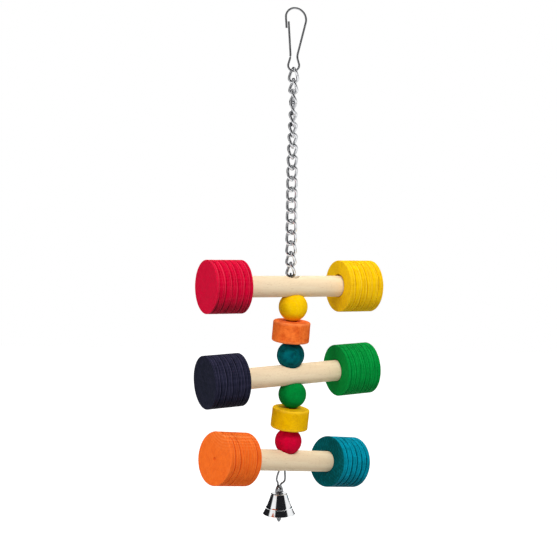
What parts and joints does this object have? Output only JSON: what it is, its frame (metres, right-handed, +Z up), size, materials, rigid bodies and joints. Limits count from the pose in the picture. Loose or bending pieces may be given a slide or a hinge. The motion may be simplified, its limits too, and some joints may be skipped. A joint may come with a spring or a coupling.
{
  "type": "hanging parrot toy",
  "caption": "Hanging bird toy: sprung wire hook, twisted-link chain, cross dowels with grooved dyed wooden rollers, balls and discs between them on a wire, and a small bell with a clapper.",
  "frame": {"origin": "hang point: the middle of the hook's inner crown, where a cage bar carries the toy", "axes": "+Z up along the hanging chain, +X to the right and +Y away from someone who looks at the toy as in the picture"},
  "size_m": [0.1332, 0.1106, 0.3623],
  "materials": {
    "nickel_wire": "bright nickel on bent wire",
    "chain_steel": "bright steel, drawn wire",
    "string_steel": "bright steel, drawn wire",
    "plain_beech": "sanded, unfinished",
    "dyed_red": "dyed, grain shows through",
    "dyed_yellow": "dyed, grain shows through",
    "dyed_navy": "dyed, grain shows through",
    "dyed_green": "dyed, grain shows through",
    "dyed_orange": "dyed, grain shows through",
    "dyed_teal": "dyed, grain shows through",
    "bell_chrome": "polished chrome"
  },
  "bodies": {
    "hook": {"snap_hook": "nickel_wire"},
    "gate": {"hook_gate": "nickel_wire"},
    "link_01": {"chain_link_01": "chain_steel"},
    "link_02": {"chain_link_02": "chain_steel"},
    "link_03": {"chain_link_03": "chain_steel"},
    "link_04": {"chain_link_04": "chain_steel"},
    "link_05": {"chain_link_05": "chain_steel"},
    "link_06": {"chain_link_06": "chain_steel"},
    "link_07": {"chain_link_07": "chain_steel"},
    "link_08": {"chain_link_08": "chain_steel"},
    "link_09": {"chain_link_09": "chain_steel"},
    "link_10": {"chain_link_10": "chain_steel"},
    "link_11": {"chain_link_11": "chain_steel"},
    "link_12": {"chain_link_12": "chain_steel"},
    "link_13": {"chain_link_13": "chain_steel"},
    "link_14": {"chain_link_14": "chain_steel"},
    "link_15": {"chain_link_15": "chain_steel"},
    "link_16": {"chain_link_16": "chain_steel"},
    "link_17": {"chain_link_17": "chain_steel"},
    "link_18": {"chain_link_18": "chain_steel"},
    "link_19": {"chain_link_19": "chain_steel"},
    "string": {"stringing_wire": "string_steel"},
    "dumbbell_1": {"dowel_1": "plain_beech", "roller_red": "dyed_red", "roller_yellow": "dyed_yellow"},
    "dumbbell_2": {"dowel_2": "plain_beech", "roller_navy": "dyed_navy", "roller_green": "dyed_green"},
    "dumbbell_3": {"dowel_3": "plain_beech", "roller_orange": "dyed_orange", "roller_teal": "dyed_teal"},
    "ball_yellow": {"ball_yellow": "dyed_yellow"},
    "disc_orange": {"disc_orange": "dyed_orange"},
    "ball_teal": {"ball_teal": "dyed_teal"},
    "ball_green": {"ball_green": "dyed_green"},
    "disc_yellow": {"disc_yellow": "dyed_yellow"},
    "ball_red": {"ball_red": "dyed_red"},
    "bell": {"bell_shell": "bell_chrome", "bell_hanger": "bell_chrome"},
    "clapper": {"bell_clapper": "bell_chrome"}
  },
  "joints": [
    {"name": "gate_spring", "type": "hinge", "parent": "hook", "child": "gate", "pos_m": [-0.0022, 0, -0.0324], "axis": [0, 1, 0], "range_deg": [0, 24], "stiffness_Nm_per_rad": 0.05},
    {"name": "dumbbell_1_spin", "type": "hinge", "parent": "string", "child": "dumbbell_1", "pos_m": [0.00166, 0, -0.19194], "axis": [-0.0308, -0.0164, 0.9994], "continuous": true},
    {"name": "dumbbell_2_spin", "type": "hinge", "parent": "string", "child": "dumbbell_2", "pos_m": [0.00158, 0, -0.2549], "axis": [-0.057, -0.0303, 0.9979], "continuous": true},
    {"name": "dumbbell_3_spin", "type": "hinge", "parent": "string", "child": "dumbbell_3", "pos_m": [-0.00233, -0.002, -0.31666], "axis": [0.1639, 0.1361, 0.977], "continuous": true},
    {"name": "ball_yellow_spin", "type": "hinge", "parent": "string", "child": "ball_yellow", "pos_m": [0.00211, 0.00024, -0.20648], "axis": [0.0523, 0, 0.9986], "continuous": true},
    {"name": "disc_orange_spin", "type": "hinge", "parent": "string", "child": "disc_orange", "pos_m": [0.0009, 0, -0.22383], "axis": [0.0698, -0.0087, 0.9975], "continuous": true},
    {"name": "ball_teal_spin", "type": "hinge", "parent": "string", "child": "ball_teal", "pos_m": [0.00078, -0.00043, -0.24083], "axis": [0.0349, -0.0052, 0.9994], "continuous": true},
    {"name": "ball_green_spin", "type": "hinge", "parent": "string", "child": "ball_green", "pos_m": [0.00239, 0.00043, -0.26912], "axis": [0.0471, 0, 0.9989], "continuous": true},
    {"name": "disc_yellow_spin", "type": "hinge", "parent": "string", "child": "disc_yellow", "pos_m": [0.00102, 0, -0.28623], "axis": [0.0976, 0, 0.9952], "continuous": true},
    {"name": "ball_red_spin", "type": "hinge", "parent": "string", "child": "ball_red", "pos_m": [-0.00005, -0.00011, -0.30308], "axis": [0.12, 0.052, 0.9914], "continuous": true},
    {"name": "bell_swing", "type": "hinge", "parent": "string", "child": "bell", "pos_m": [-0.00594, -0.00254, -0.33617], "axis": [0.5, -0.866, 0], "range_deg": [-60, 60]},
    {"name": "clapper_swing", "type": "hinge", "parent": "bell", "child": "clapper", "pos_m": [-0.00594, -0.00254, -0.34327], "axis": [0.5, -0.866, 0], "range_deg": [-30, 30]},
    {"name": "link_01_swing", "type": "hinge", "parent": "hook", "child": "link_01", "pos_m": [0, 0, -0.04205], "axis": [1, 0, 0], "range_deg": [-40, 40]},
    {"name": "link_02_swing", "type": "hinge", "parent": "link_01", "child": "link_02", "pos_m": [0, 0, -0.04756], "axis": [0.2022, 0.9793, 0], "range_deg": [-40, 40]},
    {"name": "link_03_swing", "type": "hinge", "parent": "link_02", "child": "link_03", "pos_m": [0, 0, -0.05737], "axis": [-0.9793, 0.2022, 0], "range_deg": [-40, 40]},
    {"name": "link_04_swing", "type": "hinge", "parent": "link_03", "child": "link_04", "pos_m": [0, 0, -0.06258], "axis": [-0.8192, -0.5736, 0], "range_deg": [-40, 40]},
    {"name": "link_05_swing", "type": "hinge", "parent": "link_04", "child": "link_05", "pos_m": [0, 0, -0.07239], "axis": [0.5736, -0.8192, 0], "range_deg": [-40, 40]},
    {"name": "link_06_swing", "type": "hinge", "parent": "link_05", "child": "link_06", "pos_m": [0, 0, -0.0776], "axis": [0.9613, 0.2756, 0], "range_deg": [-40, 40]},
    {"name": "link_07_swing", "type": "hinge", "parent": "link_06", "child": "link_07", "pos_m": [0, 0, -0.08741], "axis": [-0.2756, 0.9613, 0], "range_deg": [-40, 40]},
    {"name": "link_08_swing", "type": "hinge", "parent": "link_07", "child": "link_08", "pos_m": [0, 0, -0.09262], "axis": [-0.9986, 0.0523, 0], "range_deg": [-40, 40]},
    {"name": "link_09_swing", "type": "hinge", "parent": "link_08", "child": "link_09", "pos_m": [0, 0, -0.10243], "axis": [-0.0523, -0.9986, 0], "range_deg": [-40, 40]},
    {"name": "link_10_swing", "type": "hinge", "parent": "link_09", "child": "link_10", "pos_m": [0, 0, -0.10764], "axis": [0.891, -0.454, 0], "range_deg": [-40, 40]},
    {"name": "link_11_swing", "type": "hinge", "parent": "link_10", "child": "link_11", "pos_m": [0, 0, -0.11745], "axis": [0.454, 0.891, 0], "range_deg": [-40, 40]},
    {"name": "link_12_swing", "type": "hinge", "parent": "link_11", "child": "link_12", "pos_m": [0, 0, -0.12266], "axis": [-0.7478, 0.6639, 0], "range_deg": [-40, 40]},
    {"name": "link_13_swing", "type": "hinge", "parent": "link_12", "child": "link_13", "pos_m": [0, 0, -0.13247], "axis": [-0.6639, -0.7478, 0], "range_deg": [-40, 40]},
    {"name": "link_14_swing", "type": "hinge", "parent": "link_13", "child": "link_14", "pos_m": [0, 0, -0.13768], "axis": [0.6845, -0.729, 0], "range_deg": [-40, 40]},
    {"name": "link_15_swing", "type": "hinge", "parent": "link_14", "child": "link_15", "pos_m": [0, 0, -0.14749], "axis": [0.729, 0.6845, 0], "range_deg": [-40, 40]},
    {"name": "link_16_swing", "type": "hinge", "parent": "link_15", "child": "link_16", "pos_m": [0, 0, -0.1527], "axis": [-0.6157, 0.788, 0], "range_deg": [-40, 40]},
    {"name": "link_17_swing", "type": "hinge", "parent": "link_16", "child": "link_17", "pos_m": [0, 0, -0.16251], "axis": [-0.788, -0.6157, 0], "range_deg": [-40, 40]},
    {"name": "link_18_swing", "type": "hinge", "parent": "link_17", "child": "link_18", "pos_m": [0, 0, -0.16772], "axis": [0.1851, -0.9827, 0], "range_deg": [-40, 40]},
    {"name": "link_19_swing", "type": "hinge", "parent": "link_18", "child": "link_19", "pos_m": [0, 0, -0.17753], "axis": [0.9827, 0.1851, 0], "range_deg": [-40, 40]},
    {"name": "string_swing", "type": "hinge", "parent": "link_19", "child": "string", "pos_m": [0, 0, -0.18314], "axis": [-0.0523, -0.9986, 0], "range_deg": [-40, 40]}
  ]
}
